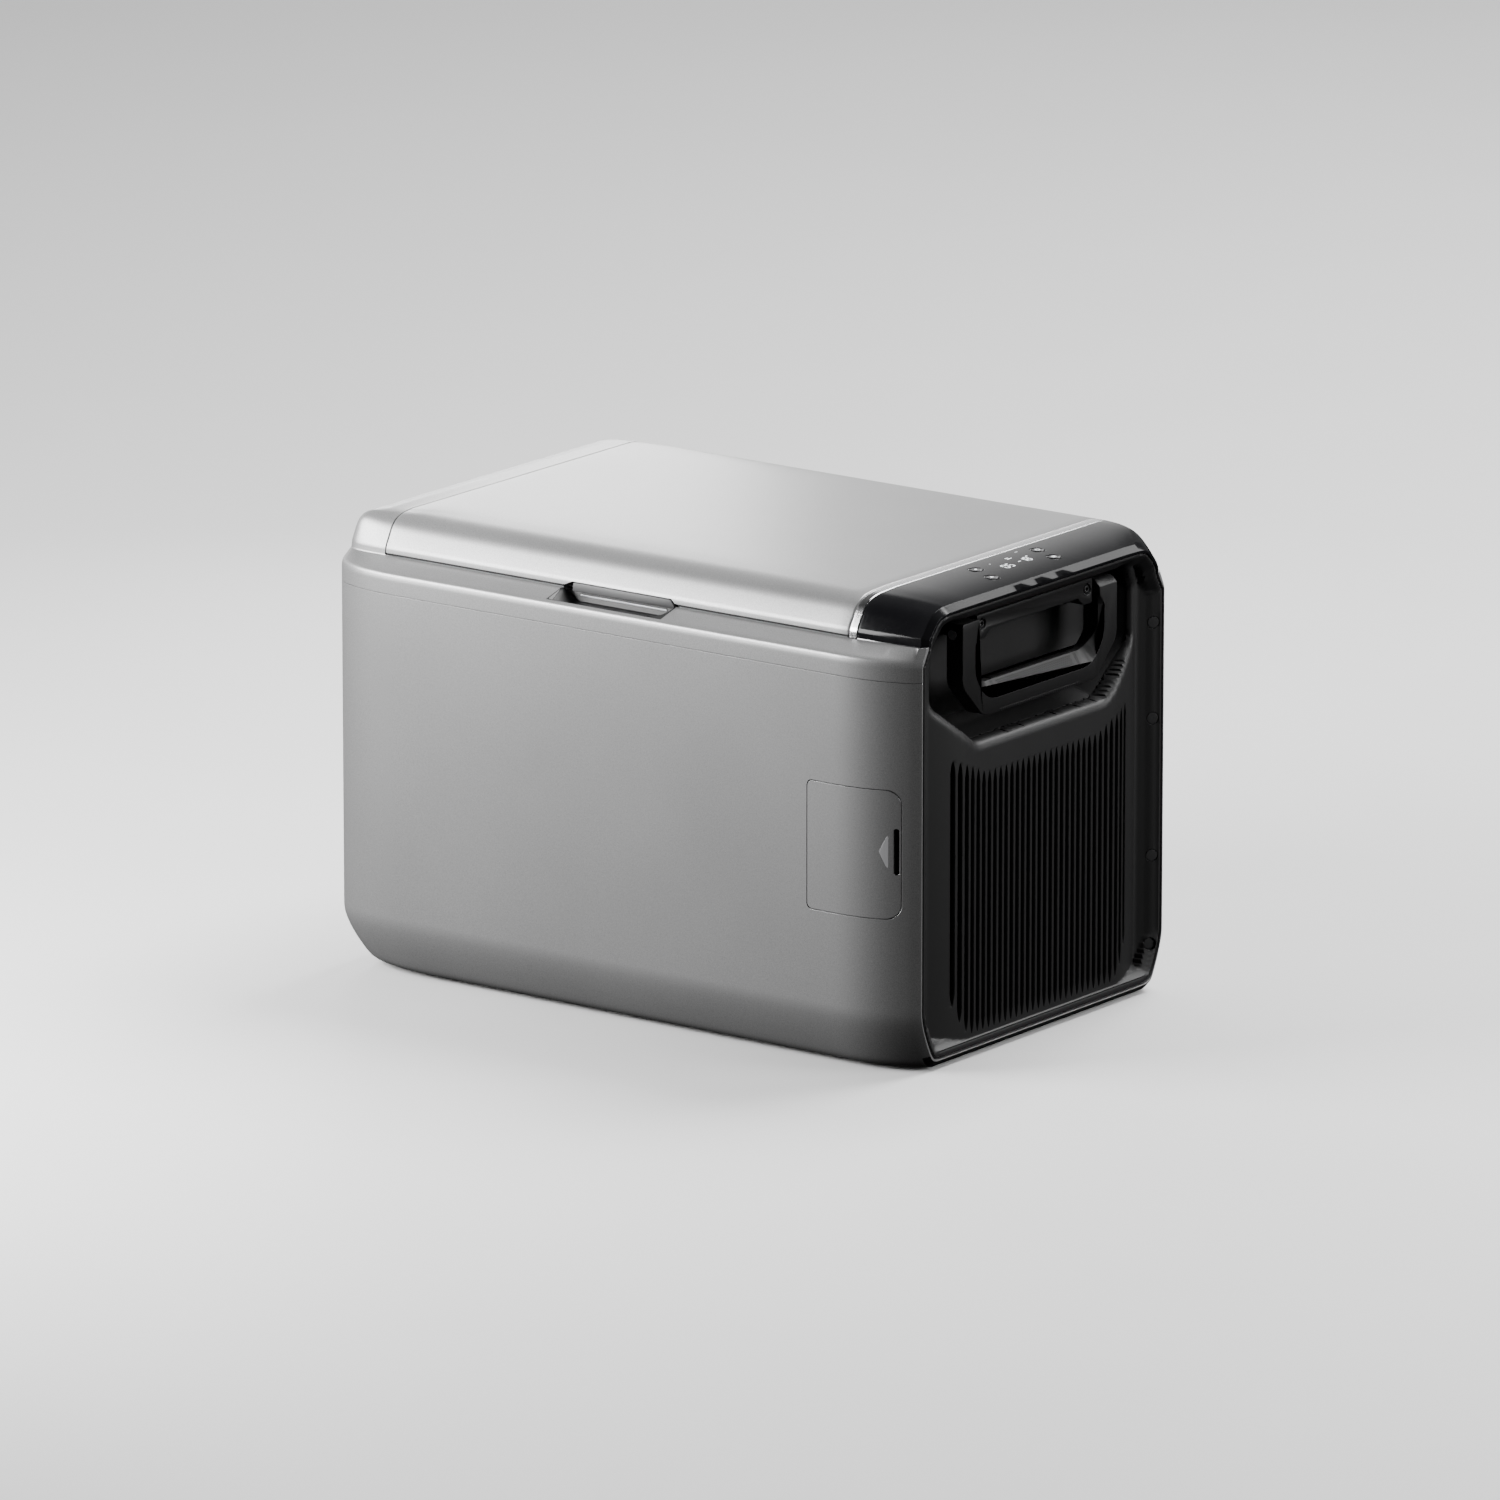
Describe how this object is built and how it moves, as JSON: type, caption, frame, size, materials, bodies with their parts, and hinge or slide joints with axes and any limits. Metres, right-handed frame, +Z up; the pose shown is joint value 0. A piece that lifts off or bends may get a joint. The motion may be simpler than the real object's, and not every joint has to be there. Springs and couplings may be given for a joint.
{
  "type": "compressor cooler fridge",
  "caption": "Portable chest-type compressor fridge with hinged lid, grille end, recessed swing handles, touch control panel and battery hatch.",
  "frame": {"origin": "bottom centre of the bounding box, on the floor below the feet", "axes": "+X along the length to the grille end, +Y to the lid's hinges at the back, +Z up"},
  "size_m": [0.595, 0.39, 0.3886],
  "materials": {
    "silver_paint": "silver-grey metallic satin paint on moulded plastic",
    "black_plastic": "black satin plastic",
    "gloss_black": "gloss black",
    "bright_trim": "bright plated trim",
    "liner_grey": "pale grey liner plastic",
    "insulation_foam": "pale yellow polyurethane foam",
    "rubber": "soft black rubber",
    "zinc_steel": "zinc plated steel",
    "fin_aluminium": "bare aluminium",
    "circuit_board": "green circuit board",
    "black_enamel": "black enamel",
    "coated_wire": "white coated basket"
  },
  "bodies": {
    "housing": {"lower_shell": "silver_paint", "top_frame": "silver_paint", "latch_cup": "black_plastic", "latch_keeper": "zinc_steel", "foot_1": "rubber", "foot_2": "rubber", "foot_3": "rubber", "foot_4": "rubber", "right_end_cover": "black_plastic", "screw_cap_rear_1": "rubber", "screw_cap_rear_2": "rubber", "screw_cap_rear_3": "rubber", "screw_cap_rear_4": "rubber", "right_handle_pocket": "black_plastic", "left_handle_pocket": "black_plastic", "right_handle_bracket": "black_plastic", "left_handle_bracket": "black_plastic", "right_handle_rod": "zinc_steel", "left_handle_rod": "zinc_steel", "control_panel": "gloss_black", "control_board": "circuit_board", "power_board": "circuit_board", "chrome_strip": "bright_trim", "hinge_bracket_left": "zinc_steel", "hinge_bracket_right": "zinc_steel", "hinge_pin_left": "zinc_steel", "hinge_pin_right": "zinc_steel", "tub_liner": "liner_grey", "tub_lamp": "liner_grey", "evaporator": "fin_aluminium", "foam_jacket": "insulation_foam", "storage_basket": "coated_wire", "base_plate": "zinc_steel", "compressor_mount_front": "rubber", "compressor_mount_rear": "rubber", "compressor": "black_enamel", "condenser": "fin_aluminium", "fan_housing": "black_plastic", "battery_bay": "black_plastic", "battery_pack": "black_plastic", "power_inlet": "black_plastic", "hatch_pin": "zinc_steel"},
    "lid": {"lid_cover": "silver_paint", "lid_foam": "insulation_foam", "lid_liner": "liner_grey", "lid_gasket": "rubber", "hinge_leaf_left": "zinc_steel", "hinge_leaf_right": "zinc_steel"},
    "latch": {"lid_latch": "black_plastic"},
    "right_handle": {"right_handle": "black_plastic", "right_handle_grip": "rubber"},
    "left_handle": {"left_handle": "black_plastic", "left_handle_grip": "rubber"},
    "down_key": {"button_down": "gloss_black"},
    "up_key": {"button_up": "gloss_black"},
    "power_key": {"button_power": "gloss_black"},
    "mode_key": {"button_mode": "gloss_black"},
    "fan": {"fan_rotor": "black_plastic"},
    "hatch": {"hatch_door": "silver_paint"}
  },
  "joints": [
    {"name": "lid_hinge", "type": "hinge", "parent": "housing", "child": "lid", "pos_m": [0, 0.189, 0.368], "axis": [-1, 0, 0], "range_deg": [0, 95]},
    {"name": "latch_pull", "type": "hinge", "parent": "lid", "child": "latch", "pos_m": [0, -0.161, 0.3568], "axis": [-1, 0, 0], "range_deg": [0, 25], "stiffness_Nm_per_rad": 0.06, "springref_deg": -20.05},
    {"name": "right_handle_swing", "type": "hinge", "parent": "housing", "child": "right_handle", "pos_m": [0.2835, 0, 0.3545], "axis": [0, -1, 0], "range_deg": [0, 95]},
    {"name": "left_handle_swing", "type": "hinge", "parent": "housing", "child": "left_handle", "pos_m": [-0.285, 0, 0.3485], "axis": [0, 1, 0], "range_deg": [0, 95]},
    {"name": "hatch_hinge", "type": "hinge", "parent": "housing", "child": "hatch", "pos_m": [0.196, -0.19, 0.185], "axis": [0, 0, -1], "range_deg": [0, 85]},
    {"name": "down_press", "type": "slide", "parent": "housing", "child": "down_key", "axis": [0, 0, -1], "range_m": [0, 0.0008], "stiffness_N_per_m": 400, "springref_m": -0.0005},
    {"name": "up_press", "type": "slide", "parent": "housing", "child": "up_key", "axis": [0, 0, -1], "range_m": [0, 0.0008], "stiffness_N_per_m": 400, "springref_m": -0.0005},
    {"name": "power_press", "type": "slide", "parent": "housing", "child": "power_key", "axis": [0, 0, -1], "range_m": [0, 0.0008], "stiffness_N_per_m": 400, "springref_m": -0.0005},
    {"name": "mode_press", "type": "slide", "parent": "housing", "child": "mode_key", "axis": [0, 0, -1], "range_m": [0, 0.0008], "stiffness_N_per_m": 400, "springref_m": -0.0005},
    {"name": "fan_spin", "type": "hinge", "parent": "housing", "child": "fan", "pos_m": [0.243, -0.068, 0.068], "axis": [1, 0, 0], "continuous": true}
  ]
}
